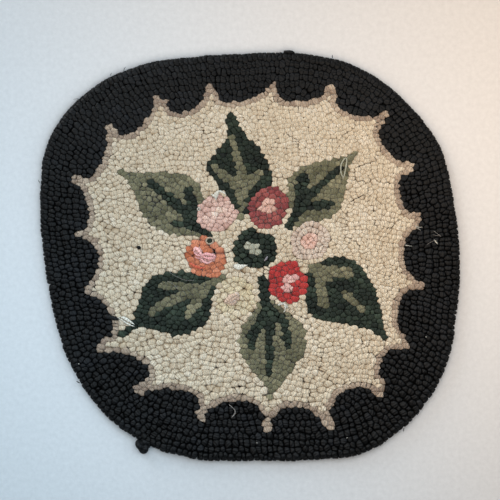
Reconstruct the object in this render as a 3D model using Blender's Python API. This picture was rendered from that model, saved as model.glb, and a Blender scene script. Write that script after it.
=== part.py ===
"""Hooked chair pad: one flat mat of jersey loops hooked through a foundation cloth.

Metres, +Z up. The mat lies on its flat sole at z = 0, with the origin under the middle of its outline.
+X runs to the right of the pattern, and +Y to its top.
The loops and the cloth they are hooked through are one fabric, so the mat is one solid. It reaches as far
as the loops do: they roll over the edge all round, and the top is as uneven as their heights.
"""

import math

import bmesh
import bpy
from mathutils import Vector, noise

MM = 0.001

# Driving dimensions, in millimetres
MAT_WIDTH = 368.0
PILE_TOP = 9.3
SWELL_OF_TOP = 0.35
WAVE_OF_TOP = 42.0
SWELL_OF_RIM = 0.7
WAVE_OF_RIM = 15.0
# How far the black border reaches in from the rim, on the average, to the cream field
FIELD_INSET = 38.0

# How finely the outline is stepped. It is halved three times on the way to the middle.
# The steps gather a little towards the knot, whose lump is the smallest form on the rim.
SPOKES = 288
GATHER = 0.45

# The outline as it lies, a rounded square with bowed sides and four corners of their own.
# One row every 15 degrees, counter-clockwise from +X.
# (bearing in degrees, reach from the middle in mm)
RIM_STATIONS = (
    (0, 183.0),
    (15, 184.2),
    (30, 191.5),
    (45, 192.0),
    (60, 191.0),
    (75, 184.0),
    (90, 178.0),
    (105, 181.5),
    (120, 193.5),
    (135, 203.5),
    (150, 204.0),
    (165, 190.5),
    (180, 181.0),
    (195, 179.0),
    (210, 183.5),
    (225, 187.0),
    (240, 188.0),
    (255, 183.0),
    (270, 178.0),
    (285, 184.0),
    (300, 197.6),
    (315, 200.5),
    (330, 196.3),
    (345, 186.8),
)

# The section at the rim, from the turned hem on the sole up over the last loops.
# (place, inset from the outline in mm, height as a share of the pile's top)
RIM_SECTION = (
    ("sole edge", 5.5, 0.00),
    ("turn of the hem", 2.6, 0.07),
    ("under the last loops", 0.8, 0.24),
    ("widest", 0.0, 0.48),
    ("side of the last loops", 0.9, 0.72),
    ("shoulder", 3.2, 0.90),
    ("top of the last loops", 7.0, 0.98),
    ("first full row", 12.0, 1.00),
)

# The rows of the top inside the rim: (share of the reach, spokes in the row as a share of all)
TOP_ROWS = (
    (0.86, 0.5),
    (0.77, 0.5),
    (0.68, 0.5),
    (0.58, 0.5),
    (0.48, 0.25),
    (0.38, 0.25),
    (0.28, 0.25),
    (0.18, 0.125),
    (0.09, 0.125),
)

# The tied-off end of a border strip, a lump on the rim
KNOT_BEARING = 240.6
KNOT_REACH = 8.5
KNOT_WIDTH = 15.0
KNOT_TOP = 0.80

# Colour and roughness of the dyed jersey: (name, red, green, blue in linear light, roughness)
BORDER_JERSEY = ("black jersey", 0.010, 0.011, 0.012, 0.92)
GROUND_JERSEY = ("cream jersey", 0.600, 0.520, 0.380, 0.92)


def clear_scene():
    for item in list(bpy.data.objects):
        bpy.data.objects.remove(item, do_unlink=True)


def jersey(name, red, green, blue, roughness):
    """A matte dyed cloth."""
    material = bpy.data.materials.new(name)
    material.use_nodes = True
    shader = material.node_tree.nodes["Principled BSDF"]
    shader.inputs["Base Color"].default_value = (red, green, blue, 1.0)
    shader.inputs["Roughness"].default_value = roughness
    shader.inputs["Metallic"].default_value = 0.0
    return material


def between_stations(bearing):
    """The reach at any bearing, on a smooth curve through the stations."""
    count = len(RIM_STATIONS)
    place = (bearing % 360.0) / 360.0 * count
    first = int(place) % count
    t = place - int(place)
    a, b, c, d = (RIM_STATIONS[(first + step) % count][1] for step in (-1, 0, 1, 2))
    bend = (2 * a - 5 * b + 4 * c - d) * t * t + (3 * b - a - 3 * c + d) * t**3
    return b + 0.5 * ((c - a) * t + bend)


def knot_share(bearing, reach):
    """1 at the middle of the knot, 0 clear of it, round in between."""
    across = math.radians(bearing - KNOT_BEARING) * reach
    off = abs(across) / (KNOT_WIDTH / 2)
    return math.sqrt(1.0 - off * off) if off < 1.0 else 0.0


def outline():
    """The rim's points in mm as (x, y, knot share), centred on their own box and MAT_WIDTH wide."""
    points = []
    for step in range(SPOKES):
        turn = 2 * math.pi * step / SPOKES - math.pi
        bearing = KNOT_BEARING + math.degrees(turn - GATHER * math.sin(turn))
        reach = between_stations(bearing)
        angle = math.radians(bearing)
        along = Vector((math.cos(angle), math.sin(angle), 0.0)) * (reach / WAVE_OF_RIM)
        reach += SWELL_OF_RIM * noise.noise(along)
        share = knot_share(bearing, reach)
        reach += KNOT_REACH * share
        points.append((reach * math.cos(angle), reach * math.sin(angle), share))
    lows = [min(p[axis] for p in points) for axis in (0, 1)]
    highs = [max(p[axis] for p in points) for axis in (0, 1)]
    middle_x = (lows[0] + highs[0]) / 2
    middle_y = (lows[1] + highs[1]) / 2
    scale = MAT_WIDTH / (highs[0] - lows[0])
    return [((x - middle_x) * scale, (y - middle_y) * scale, share) for x, y, share in points]


def top_height(x, y):
    """The uneven top of the pile, in mm."""
    wave = noise.noise(Vector((x / WAVE_OF_TOP, y / WAVE_OF_TOP, 3.5)))
    return PILE_TOP + SWELL_OF_TOP * wave


def rim_row(mesh, rim, inset, height_share):
    """One closed row of the rim's section, moved in from the outline towards the middle."""
    row = []
    for x, y, knot in rim:
        reach = math.hypot(x, y)
        inward = (reach - inset) / reach
        low = 1.0 - (1.0 - KNOT_TOP) * knot
        height = height_share * low * top_height(x * inward, y * inward)
        row.append(mesh.verts.new((x * inward * MM, y * inward * MM, height * MM)))
    return row


def top_row(mesh, rim, share, spokes):
    """One closed row of the top, a share of the way out along every so many spokes."""
    stride = len(rim) // spokes
    row = []
    for x, y, knot in rim[::stride]:
        reach = math.hypot(x, y)
        out = share * (reach - KNOT_REACH * knot) / reach
        row.append(mesh.verts.new((x * out * MM, y * out * MM, top_height(x * out, y * out) * MM)))
    return row


def join_rows(mesh, outer, inner):
    """Faces from a row to the next one inward, which has as many points or half as many."""
    count = len(inner)
    ratio = len(outer) // count
    for i in range(count):
        after = (i + 1) % count
        if ratio == 1:
            mesh.faces.new((outer[i], outer[after], inner[after], inner[i]))
            continue
        first, middle, last = (outer[(2 * i + k) % len(outer)] for k in range(3))
        mesh.faces.new((first, middle, inner[i]))
        mesh.faces.new((middle, inner[after], inner[i]))
        mesh.faces.new((middle, last, inner[after]))


def closed_shell(mesh):
    """The mat's faces: the flat sole, then row after row round the rim and over the top."""
    rim = outline()
    rows = [rim_row(mesh, rim, inset, share) for _place, inset, share in RIM_SECTION]
    rows += [top_row(mesh, rim, share, round(SPOKES * part)) for share, part in TOP_ROWS]
    mesh.faces.new(reversed(rows[0]))
    for outer, inner in zip(rows, rows[1:], strict=False):
        join_rows(mesh, outer, inner)
    middle = mesh.verts.new((0.0, 0.0, top_height(0.0, 0.0) * MM))
    last = rows[-1]
    for i, point in enumerate(last):
        mesh.faces.new((point, last[(i + 1) % len(last)], middle))
    bmesh.ops.recalc_face_normals(mesh, faces=mesh.faces)


def colour_field(mesh):
    """The second material on the cream field, the first on the border, the rim and the sole."""
    field_reach = (MAT_WIDTH / 2 - FIELD_INSET) * MM
    for face in mesh.faces:
        centre = face.calc_center_median()
        on_top = centre.z > 0.5 * PILE_TOP * MM
        in_field = math.hypot(centre.x, centre.y) < field_reach
        face.material_index = 1 if on_top and in_field else 0


def hooked_mat():
    """The whole mat as one closed solid."""
    data = bpy.data.meshes.new("hooked_mat")
    data.materials.append(jersey(*BORDER_JERSEY))
    data.materials.append(jersey(*GROUND_JERSEY))
    mesh = bmesh.new()
    closed_shell(mesh)
    colour_field(mesh)
    mesh.to_mesh(data)
    mesh.free()
    data.shade_smooth()
    data.set_sharp_from_angle(angle=math.radians(60.0))
    mat = bpy.data.objects.new("hooked_mat", data)
    bpy.context.scene.collection.objects.link(mat)
    return mat


clear_scene()
hooked_mat()
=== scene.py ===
# %% [markdown]
# # A hooked chair pad
#
# A hooked pad is made with very little: a coarse foundation cloth, strips cut from worn jersey, and a
# hook. The hook goes down through the weave, catches the strip that is held below, and pulls it up as a
# loop about 8 mm high. Loop after loop, packed as close as they will stand, the strips hide the cloth.
# What you see from above is only the crowns of some 5,000 loops, and each one is a single colour, so the
# picture on the pad is a mosaic. The scene below is made in the same order: draw the pattern on the cloth,
# share the cloth out among the loops, then raise each loop as a small closed pillow that presses against
# its neighbours.

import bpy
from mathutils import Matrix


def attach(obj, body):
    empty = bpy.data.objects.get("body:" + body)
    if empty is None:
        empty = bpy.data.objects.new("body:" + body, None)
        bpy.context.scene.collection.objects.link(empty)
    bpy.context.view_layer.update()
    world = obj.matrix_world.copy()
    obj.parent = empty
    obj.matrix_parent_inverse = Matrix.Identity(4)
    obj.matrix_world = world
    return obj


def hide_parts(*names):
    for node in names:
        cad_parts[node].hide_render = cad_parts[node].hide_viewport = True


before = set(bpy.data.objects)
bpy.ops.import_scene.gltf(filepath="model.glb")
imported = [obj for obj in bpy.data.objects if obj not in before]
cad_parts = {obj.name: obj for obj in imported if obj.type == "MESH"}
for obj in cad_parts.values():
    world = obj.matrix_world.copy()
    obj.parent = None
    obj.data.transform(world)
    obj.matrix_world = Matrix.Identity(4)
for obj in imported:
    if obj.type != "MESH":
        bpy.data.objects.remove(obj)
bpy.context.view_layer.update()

# %% What else the script needs
import math

import bpy
import numpy as np
from mathutils import Vector, kdtree, noise
from mathutils.bvhtree import BVHTree

MM = 0.001
chance = np.random.default_rng(19)

# %% [markdown]
# ## Feeling the solid
#
# The loaded solid gives the pad's true outline, thickness and rounded rim. You could copy those sizes by
# hand, but a ray cast against the solid measures them, so the loops fit it even if it changes later. All
# the planning below is done in millimetres, because loops and strips are a few millimetres across.

# %% A tree of the solid's faces, for casting rays
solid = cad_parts["hooked_mat"]
solid_corners = [solid.matrix_world @ vertex.co / MM for vertex in solid.data.vertices]
solid_faces = [list(face.vertices) for face in solid.data.polygons]
solid_tree = BVHTree.FromPolygons(solid_corners, solid_faces)


def outward(bearing, rise=0.0):
    """The direction of a bearing and a rise above the level, both in degrees."""
    turn = math.radians(bearing)
    up = math.radians(rise)
    return Vector((math.cos(turn) * math.cos(up), math.sin(turn) * math.cos(up), math.sin(up)))


# %% The outline, as a reach from the middle for every bearing
RIM_WIDEST = 4.5
KNOT_BEARING = 240.5
KNOT_SPREAD = 5.0
FAR_OFF = 400.0

bearings = np.arange(0.0, 360.0, 1.0)
rim_reach = []
for bearing in bearings:
    start = outward(bearing) * FAR_OFF + Vector((0.0, 0.0, RIM_WIDEST))
    hit = solid_tree.ray_cast(start, -outward(bearing))[0]
    rim_reach.append(math.hypot(hit.x, hit.y))

# The knot's lump is bridged, because the knot gets a piece of its own
clear_of_knot = np.abs(bearings - KNOT_BEARING) > KNOT_SPREAD
rim_reach = np.interp(bearings, bearings[clear_of_knot], np.array(rim_reach)[clear_of_knot], period=360.0)
print("the outline reaches", rim_reach.min().round(1), "to", rim_reach.max().round(1), "mm from the middle")


def rim_at(bearing):
    """How far the outline reaches from the middle at a bearing, in mm."""
    return np.interp(bearing, bearings, rim_reach, period=360.0)


# %% [markdown]
# The loops of the last rows fan out over the edge. To plan them flat, the rim is unrolled: up to 7 mm from
# the outline the plan is the pad as seen from above, and past that it goes on over the rounded edge, as if
# the rim had been pressed flat. The fan turns about a core line inside the rim.

# %% The unrolled rim
CORE_INSET = 7.0
CORE_HEIGHT = 3.0
UNROLLED_QUARTER = 10.0
UNROLLED_RIM = 12.0
RISE_STEP = 10.0
RISES = np.arange(-30.0, 91.0, RISE_STEP)
RIM_STEP = 3.0

rim_bearings = np.arange(0.0, 360.0, RIM_STEP)
fan_radius = np.zeros((len(rim_bearings), len(RISES)))
for i, bearing in enumerate(rim_bearings):
    reach = rim_at(bearing) - CORE_INSET
    core = outward(bearing) * reach + Vector((0.0, 0.0, CORE_HEIGHT))
    for j, rise in enumerate(RISES):
        near_knot = abs(bearing - KNOT_BEARING) < KNOT_SPREAD
        fan_radius[i, j] = np.nan if near_knot else solid_tree.ray_cast(core, outward(bearing, rise))[3]
for column in fan_radius.T:
    felt = ~np.isnan(column)
    column[:] = np.interp(rim_bearings, rim_bearings[felt], column[felt], period=360.0)
print("the rim bulges", fan_radius.min().round(1), "to", fan_radius.max().round(1), "mm from its core line")

# %% The height of the pile's top, on a grid
TOP_STEP = 8.0
WELL_ABOVE = 50.0
top_axis = np.arange(-200.0, 201.0, TOP_STEP)
top_grid = np.zeros((len(top_axis), len(top_axis)))
for i, y in enumerate(top_axis):
    for j, x in enumerate(top_axis):
        edge = rim_at(math.degrees(math.atan2(y, x))) - CORE_INSET
        inside = min(1.0, edge / max(math.hypot(x, y), 1.0))
        start = Vector((x * inside, y * inside, WELL_ABOVE))
        top_grid[i, j] = solid_tree.ray_cast(start, Vector((0, 0, -1)))[0].z
print("the pile's top lies", top_grid.min().round(2), "to", top_grid.max().round(2), "mm up")


def between(grid, row, column):
    """Values between a grid's numbers, at fractional rows and columns."""
    row = np.clip(row, 0, grid.shape[0] - 1.001)
    column = np.clip(column, 0, grid.shape[1] - 1.001)
    i, j = row.astype(int), column.astype(int)
    s, t = row - i, column - j
    near = grid[i, j] * (1 - t) + grid[i, j + 1] * t
    far = grid[i + 1, j] * (1 - t) + grid[i + 1, j + 1] * t
    return near * (1 - s) + far * s


# %% From the plan to the pad
FOUNDATION_TOP = 1.8
PROUD = 1.4
LOWEST = 0.15
fan_ring = np.vstack([fan_radius, fan_radius[:1]])


def edge_reach(x, y):
    """The bearing of plan points, and how far from the middle their core line runs."""
    bearing = np.degrees(np.arctan2(y, x)) % 360.0
    return bearing, rim_at(bearing) - CORE_INSET


def on_the_pad(x, y, depth):
    """Places in metres of plan points that lie a depth in mm under the pile's surface."""
    bearing, edge = edge_reach(x, y)
    reach = np.hypot(x, y)
    top = between(top_grid, (y - top_axis[0]) / TOP_STEP, (x - top_axis[0]) / TOP_STEP)
    flat_z = np.maximum(top - depth, FOUNDATION_TOP)
    rise = 90.0 * (1 - np.clip((reach - edge) / UNROLLED_QUARTER, 0, None))
    radius = between(fan_ring, bearing / RIM_STEP, (rise - RISES[0]) / RISE_STEP)
    turn = np.radians(rise)
    radius = np.maximum(radius + PROUD * np.cos(turn) - depth, 1.0)
    over_edge = reach > edge
    out = np.where(over_edge, edge + radius * np.cos(turn), reach)
    z = np.maximum(np.where(over_edge, CORE_HEIGHT + radius * np.sin(turn), flat_z), LOWEST)
    share = out / np.maximum(reach, 0.01)
    return np.stack([x * share, y * share, z], axis=-1) * MM


# %% [markdown]
# ## The pattern
#
# A traditional pad like this one was drawn freehand: a scalloped border, six leaves and seven round
# flowers. Each form is described here the way that a maker would draw it, with a few sizes and a curve,
# and not as a traced outline. The pattern is then painted on a grid of small cells, later shapes over
# earlier ones, and a cell only knows which patch of colour it belongs to.

# %% The cells of the plan
CELL = 0.8
PLAN_HALF_WIDTH = 198.0
PLAN_HALF_DEPTH = 194.0
axis_x = np.arange(-PLAN_HALF_WIDTH, PLAN_HALF_WIDTH + 0.1, CELL)
axis_y = np.arange(-PLAN_HALF_DEPTH, PLAN_HALF_DEPTH + 0.1, CELL)
plan_x, plan_y = np.meshgrid(axis_x, axis_y)
plan_bearing, plan_edge = edge_reach(plan_x, plan_y)
plan_reach = np.hypot(plan_x, plan_y)
on_cloth = plan_reach < plan_edge + UNROLLED_RIM
print("the plan has", int(on_cloth.sum()), "cells of", CELL, "mm on the cloth")

patches = []
patch_of = np.full(plan_x.shape, -1)


def paint(name, yarn, where, loop=None, snug=1.14):
    """Gives the cells of a shape to a new patch of one yarn, over what was there, and returns its number.

    A loop of it takes so many square mm of cloth, or what its place asks for if no number is given. A snug
    above 1 presses the loops into their neighbours.
    """
    patch_of[where & on_cloth] = len(patches)
    patches.append({"name": name, "yarn": yarn, "loop": loop, "snug": snug})
    return len(patches) - 1


# %% [markdown]
# The black border bites into the cream field in nineteen round scallops, and between each two of them the
# field runs out to a point. The points and hollows are uneven, as they are when someone draws round a
# saucer by eye. So each scallop is one curve between two points, pulled to one side and down to its own
# hollow, and each point is a tapered stroke with a round end.

# %% The scallops
# Clockwise from the top's left. A point leans that many mm clockwise at its end, and ends round:
# (bearing of the point, its reach in mm, its lean, half its width at the end and at its base,
# bearing of the hollow after it, the hollow's reach)
SCALLOPS = (
    (120.1, 164.1, -1.5, 2.4, 4.4, 113.8, 139.0),
    (103.3, 155.8, -1.0, 3.6, 6.2, 95.6, 136.4),
    (82.2, 154.8, -0.5, 3.0, 4.6, 74.0, 141.2),
    (63.2, 166.9, -3.0, 4.4, 5.2, 56.2, 152.6),
    (46.4, 175.4, -0.8, 3.3, 3.6, 40.6, 152.6),
    (29.4, 165.6, -1.2, 4.2, 4.8, 23.6, 142.8),
    (11.5, 153.4, -3.4, 6.0, 6.6, 0.8, 134.2),
    (350.6, 155.9, 0.0, 2.6, 4.6, 341.6, 136.6),
    (330.4, 160.8, 0.5, 0.9, 9.0, 322.2, 146.4),
    (315.0, 168.6, 4.2, 4.2, 7.6, 304.4, 143.6),
    (295.1, 167.6, -1.2, 4.0, 4.6, 286.4, 136.4),
    (276.2, 154.4, 0.8, 3.8, 4.2, 266.8, 126.4),
    (252.2, 151.2, -4.2, 3.1, 3.3, 245.2, 130.2),
    (230.6, 156.4, 0.8, 5.2, 4.4, 225.6, 131.6),
    (211.6, 158.2, -0.8, 2.4, 7.0, 205.0, 133.4),
    (192.2, 149.2, 0.0, 1.8, 7.0, 179.6, 132.4),
    (172.5, 156.0, -0.8, 1.5, 3.6, 164.6, 146.4),
    (155.9, 171.2, 0.0, 3.6, 4.2, 149.0, 153.6),
    (138.1, 170.4, 1.6, 3.4, 4.0, 132.2, 149.6),
)
STEEPNESS = 2.3
FULLNESS = 0.72
POINT_LENGTH = 11.0


def scallop(bearing):
    """How far the cream field reaches at each bearing, in mm."""
    field = np.zeros_like(bearing)
    for point, next_point in zip(SCALLOPS, SCALLOPS[1:] + SCALLOPS[:1]):
        start, out, _, _, _, hollow, inner = point
        end, next_out = next_point[:2]
        width = (start - end) % 360.0
        along = ((start - bearing) % 360.0) / width
        lowest = ((start - hollow) % 360.0) / width
        skew = math.log(0.5) / math.log(lowest)
        chord = out + (next_out - out) * along
        bite = out + (next_out - out) * lowest - inner
        centred = np.clip(along, 0, 1) ** skew
        shape = (1 - np.abs(2 * centred - 1) ** STEEPNESS) ** FULLNESS
        field = np.where(along <= 1, chord - bite * shape, field)
    return field


in_field = plan_reach < scallop(plan_bearing)
print(len(SCALLOPS), "scallops, whose hollows reach", min(row[-1] for row in SCALLOPS), "mm and more")


# %% The points between the scallops
def off_line(x, y, start, end):
    """How far along a line points lie, as a share of it, and how far off it."""
    span_x, span_y = end[0] - start[0], end[1] - start[1]
    share = ((x - start[0]) * span_x + (y - start[1]) * span_y) / (span_x * span_x + span_y * span_y)
    share = np.clip(share, 0, 1)
    return share, np.hypot(x - start[0] - share * span_x, y - start[1] - share * span_y)


for bearing, reach, lean, half_width, half_base, _, _ in SCALLOPS:
    end = outward(bearing) * (reach - half_width) + outward(bearing - 90.0) * lean
    start = outward(bearing) * (reach - POINT_LENGTH)
    share, off = off_line(plan_x, plan_y, start, end)
    in_field |= off < half_base + (half_width - half_base) * share

# %% [markdown]
# One row of pinkish tan loops follows the whole edge of the field, as an outline does in many hooked pads.
# It is found from the field itself: the cells that lie within one row's width of the border.

# %% Border, field and the row between them
TAN_ROW = 4.6
TAN_LOOP = 17.0


def near_cells(cells, distance):
    """The cells that lie within a distance in mm of some cells."""
    near = np.zeros_like(cells)
    steps = int(distance / CELL)
    for down in range(-steps, steps + 1):
        for right in range(-steps, steps + 1):
            if math.hypot(down, right) * CELL <= distance:
                near |= np.roll(cells, (down, right), axis=(0, 1))
    return near


near_edge = in_field & near_cells(~in_field, TAN_ROW)
BORDER = paint("border", "black", on_cloth, snug=1.05)
paint("ground", "cream", in_field)
paint("field_edge", "tan", near_edge, TAN_LOOP)
print("the field covers", round(float(in_field.sum()) * CELL**2 / 100), "square cm")

# %% [markdown]
# A leaf is drawn from its base to its tip. On each side the edge swells to a belly and falls away to a
# narrow drip tip, and one curve with two numbers gives both halves: one number hollows its start, the
# other rounds its end. The veins are tapered strokes. Leaves and veins take turns: sage veins lie on a
# dark green leaf, and dark green veins on a sage one.

# %% How a leaf is drawn
DRIP_TIP = 2.6
LEAF_LOOP = 20.5


def swell(share, hollow, full):
    """A curve from 0 to 1: hollow above 1 makes it start slowly, full above 1 rounds it off early."""
    return 1 - (1 - np.clip(share, 0, 1) ** hollow) ** full


def leaf_side(along, length, side, tip_half):
    """Half a leaf's width in mm at each share of its length."""
    half, belly, base_hollow, base_full, tip_hollow, tip_full = side
    from_base = swell(along / belly, base_hollow, base_full)
    from_tip = swell((1 - along) / (1 - belly), tip_hollow, tip_full)
    width = half * np.where(along < belly, from_base, from_tip)
    end = np.clip((along - 1) * length / tip_half + 1, 0, 1)
    drip = tip_half * np.sqrt(1 - end**2)
    return np.where(along > belly, np.maximum(width, drip), width)


def in_leaf_terms(base, tip):
    """Each cell's share of the way from base to tip, and its distance to the left of that line."""
    run = np.array(tip) - np.array(base)
    length = math.hypot(*run)
    ahead = run / length
    from_base_x = plan_x - base[0]
    from_base_y = plan_y - base[1]
    along = (from_base_x * ahead[0] + from_base_y * ahead[1]) / length
    left = from_base_y * ahead[0] - from_base_x * ahead[1]
    return along, left, length


def stroke(along, left, length, start, end):
    """Where a tapered stroke lies. Its ends are (share along the leaf, mm to the left, width in mm)."""
    a, b = (start[0] * length, start[1]), (end[0] * length, end[1])
    share, off = off_line(along * length, left, a, b)
    return off < (start[2] + (end[2] - start[2]) * share) / 2


def leaf(name, body_yarn, vein_yarn, base, tip, left_side, right_side, strokes, tip_half=DRIP_TIP):
    """Paints a leaf, and its veins over it."""
    along, left, length = in_leaf_terms(base, tip)
    to_left = leaf_side(along, length, left_side, tip_half)
    to_right = leaf_side(along, length, right_side, tip_half)
    body = (along > 0) & (along < 1) & (left < to_left) & (left > -to_right)
    veins = np.zeros_like(body)
    for start, end in strokes:
        veins |= stroke(along, left, length, start, end)
    paint(name, body_yarn, body, LEAF_LOOP)
    paint(name + "_veins", vein_yarn, veins, LEAF_LOOP)
    print(name, round(length), "mm long,", round(float(body.sum()) * CELL**2), "square mm")


# %% The three upper leaves
# Base and tip are (x, y) in mm. Each side is (half width in mm, where its belly is, hollow and full of its
# base half, hollow and full of its tip half). A vein's stroke runs between two ends, and each end is (share
# along the leaf, mm to the left, width in mm).
leaf(
    "top_leaf", "deep_green", "sage",
    base=(-8.8, 31.5), tip=(-16.6, 126.6),
    left_side=(25.0, 0.50, 2.0, 2.0, 3.0, 2.6),
    right_side=(31.3, 0.42, 1.2, 2.6, 1.5, 2.0),
    strokes=(
        ((0.76, 0.9, 5.5), (0.37, -5.6, 9.5)),
        ((0.51, 18.6, 6.0), (0.33, 0.0, 9.0)),
        ((0.43, -21.0, 7.0), (0.30, -6.5, 9.0)),
        ((0.36, -4.6, 15.0), (0.19, -3.3, 9.0)),
        ((0.19, -3.3, 9.0), (0.02, 0.0, 5.5)),
    ),
    tip_half=5.2,
)
leaf(
    "upper_right_leaf", "sage", "dark_green",
    base=(33.7, 24.5), tip=(93.8, 92.2),
    left_side=(29.3, 0.40, 2.2, 2.8, 1.4, 2.1),
    right_side=(22.1, 0.45, 1.3, 2.0, 1.5, 1.6),
    strokes=(
        ((0.78, 1.4, 5.0), (0.34, 6.6, 7.5)),
        ((0.46, 19.6, 10.5), (0.20, 5.2, 9.5)),
        ((0.455, -13.4, 6.5), (0.28, 0.7, 8.0)),
        ((0.30, 7.0, 12.0), (0.02, 1.0, 7.0)),
    ),
)
leaf(
    "upper_left_leaf", "sage", "dark_green",
    base=(-36.8, 18.8), tip=(-115.3, 76.2),
    left_side=(22.1, 0.44, 1.1, 2.0, 2.0, 2.4),
    right_side=(32.6, 0.37, 2.5, 3.0, 1.5, 2.2),
    strokes=(
        ((0.69, -7.5, 6.5), (0.16, -4.0, 10.0)),
        ((0.38, -21.6, 8.5), (0.20, -8.0, 11.0)),
        ((0.32, 9.2, 6.5), (0.12, -1.0, 8.0)),
        ((0.22, -3.0, 13.0), (0.0, 0.0, 7.0)),
    ),
)

# %% The three lower leaves
leaf(
    "lower_left_leaf", "dark_green", "sage",
    base=(-24.5, -18.4), tip=(-115.3, -69.2),
    left_side=(28.4, 0.42, 2.0, 4.0, 3.0, 3.5),
    right_side=(30.0, 0.48, 1.3, 2.0, 2.2, 2.6),
    strokes=(
        ((0.66, -4.6, 6.5), (0.545, -5.6, 8.5)),
        ((0.545, -5.6, 8.5), (0.19, -1.1, 9.0)),
        ((0.47, -20.0, 6.5), (0.24, -3.5, 8.0)),
        ((0.405, 14.7, 7.0), (0.293, 7.9, 8.5)),
        ((0.293, 7.9, 8.5), (0.19, 2.5, 9.0)),
        ((0.19, -1.1, 9.0), (0.0, 0.0, 6.0)),
    ),
)
leaf(
    "bottom_leaf", "sage", "dark_green",
    base=(10.5, -19.3), tip=(18.4, -127.0),
    left_side=(35.5, 0.48, 2.5, 2.8, 1.5, 2.3),
    right_side=(24.5, 0.52, 2.8, 3.2, 2.0, 2.5),
    strokes=(
        ((0.76, 0.4, 6.0), (0.37, 4.3, 10.0)),
        ((0.54, -12.8, 6.0), (0.45, -12.2, 8.5)),
        ((0.45, -12.2, 8.5), (0.32, -2.0, 9.5)),
        ((0.56, 18.4, 6.5), (0.37, 17.0, 7.5)),
        ((0.37, 17.0, 7.5), (0.26, 6.0, 8.0)),
        ((0.37, 4.3, 10.0), (0.0, 0.0, 8.0)),
    ),
)
leaf(
    "lower_right_leaf", "dark_green", "sage",
    base=(48.5, -11.2), tip=(120.0, -72.3),
    left_side=(33.3, 0.37, 1.0, 3.3, 1.1, 1.8),
    right_side=(26.5, 0.35, 1.2, 2.5, 1.8, 1.4),
    strokes=(
        ((0.05, 5.0, 10.0), (0.33, 22.4, 9.5)),
        ((0.235, 7.2, 4.0), (0.13, 6.4, 9.0)),
        ((0.12, 5.9, 9.0), (0.34, -12.6, 8.5)),
        ((0.42, 6.3, 6.0), (0.645, 5.8, 7.5)),
    ),
)

# %% [markdown]
# A flower is a disc of loops, with a small heart in a second colour. No circle on cloth comes out true, so
# each disc's edge wavers a little. A heart is one, two or three blots side by side.

# %% How a flower is drawn
WAVER = 0.9
HEART_LOOP = 15.0
HEART_SNUG = 1.16


def flower(number, name, petal_yarn, heart_yarn, centre, radius, blots, loop, snug, lobe=None, dent=None):
    """Paints a flower and its heart. The number gives its edge a waver of its own.

    A blot is (x, y from the flower's middle, half length, half width in mm, slant in degrees). A lobe is a
    circle that bulges at one side, and a dent is one that bites in: (x, y, radius in mm).
    """
    x, y = plan_x - centre[0], plan_y - centre[1]
    turn = np.arctan2(y, x)
    waver = np.sin(2 * turn + number) + 0.7 * np.sin(5 * turn + 2.1 * number)
    petals = np.hypot(x, y) < radius + WAVER * waver
    if lobe:
        petals |= np.hypot(x - lobe[0], y - lobe[1]) < lobe[2]
    if dent:
        petals &= np.hypot(x - dent[0], y - dent[1]) > dent[2]
    heart = np.zeros_like(petals)
    for blot_x, blot_y, half_length, half_width, slant in blots:
        tilt = math.radians(slant)
        across = (x - blot_x) * math.cos(tilt) + (y - blot_y) * math.sin(tilt)
        up = (y - blot_y) * math.cos(tilt) - (x - blot_x) * math.sin(tilt)
        heart |= (across / half_length) ** 2 + (up / half_width) ** 2 < 1
    paint(name, petal_yarn, petals, loop, snug)
    paint(name + "_heart", heart_yarn, heart, HEART_LOOP, HEART_SNUG)
    print(name, round(float(petals.sum()) * CELL**2), "square mm")


# %% The seven flowers
BLUSH_MIDDLE = (52.6, 14.3)
flower(
    0, "raspberry_flower", "raspberry", "peach", centre=(16.4, 43.5), radius=18.4,
    blots=((-1.4, 2.5, 7.8, 3.6, 42), (0.3, -1.5, 5.0, 3.4, 0)), loop=26.0, snug=1.09,
)
flower(
    1, "dusty_pink_flower", "dusty_pink", "pale_pink", centre=(-29.2, 37.9), radius=17.0,
    blots=((0.8, 2.0, 5.0, 2.6, 35),), loop=21.5, snug=1.13,
)
flower(
    2, "middle_flower", "dark_green", "pale_sage", centre=(4.7, 7.4), radius=18.4,
    blots=((-3.3, 0.8, 7.0, 3.1, -44), (-0.7, -3.2, 4.6, 2.1, 0), (0.9, 2.4, 2.8, 2.1, 50)),
    loop=24.0, snug=1.08, lobe=(-13.0, -8.6, 5.6), dent=(7.6, 19.9, 7.4),
)
flower(
    3, "orange_flower", "orange", "lilac_pink", centre=(-38.7, -0.4), radius=18.1,
    blots=((-7.4, 4.8, 4.6, 3.2, -40), (2.1, 0.0, 7.4, 3.4, -8), (0.0, -3.4, 4.8, 1.8, -15)),
    loop=26.0, snug=1.15,
)
flower(
    4, "red_flower", "red", "lilac_pink", centre=(33.0, -22.0), radius=18.3,
    blots=((2.0, 3.1, 6.6, 4.0, 0), (-0.5, -5.0, 5.6, 3.4, -8)), loop=28.0, snug=1.09,
)
flower(
    5, "pale_yellow_flower", "pale_yellow", "pale_pink", centre=(-12.8, -36.0), radius=17.8,
    blots=((-3.1, -0.1, 7.4, 3.4, 28),), loop=27.0, snug=1.14,
)
flower(
    6, "blush_flower", "blush", "peach", centre=BLUSH_MIDDLE, radius=17.2,
    blots=((0.2, 0.0, 7.4, 6.6, 20),), loop=20.5, snug=1.12,
)

# %% The dark loop that shows through an open one, at the orange flower's upper edge
OPEN_LOOP = (-35.3, 14.2)
OPEN_LOOP_INSIDE = 2.8
OPEN_LOOP_CLOTH = 20.0
inside_open_loop = np.hypot(plan_x - OPEN_LOOP[0], plan_y - OPEN_LOOP[1]) < OPEN_LOOP_INSIDE
paint("open_loop_heart", "dark_green", inside_open_loop, OPEN_LOOP_CLOTH)
print(len(patches), "patches of colour")

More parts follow.
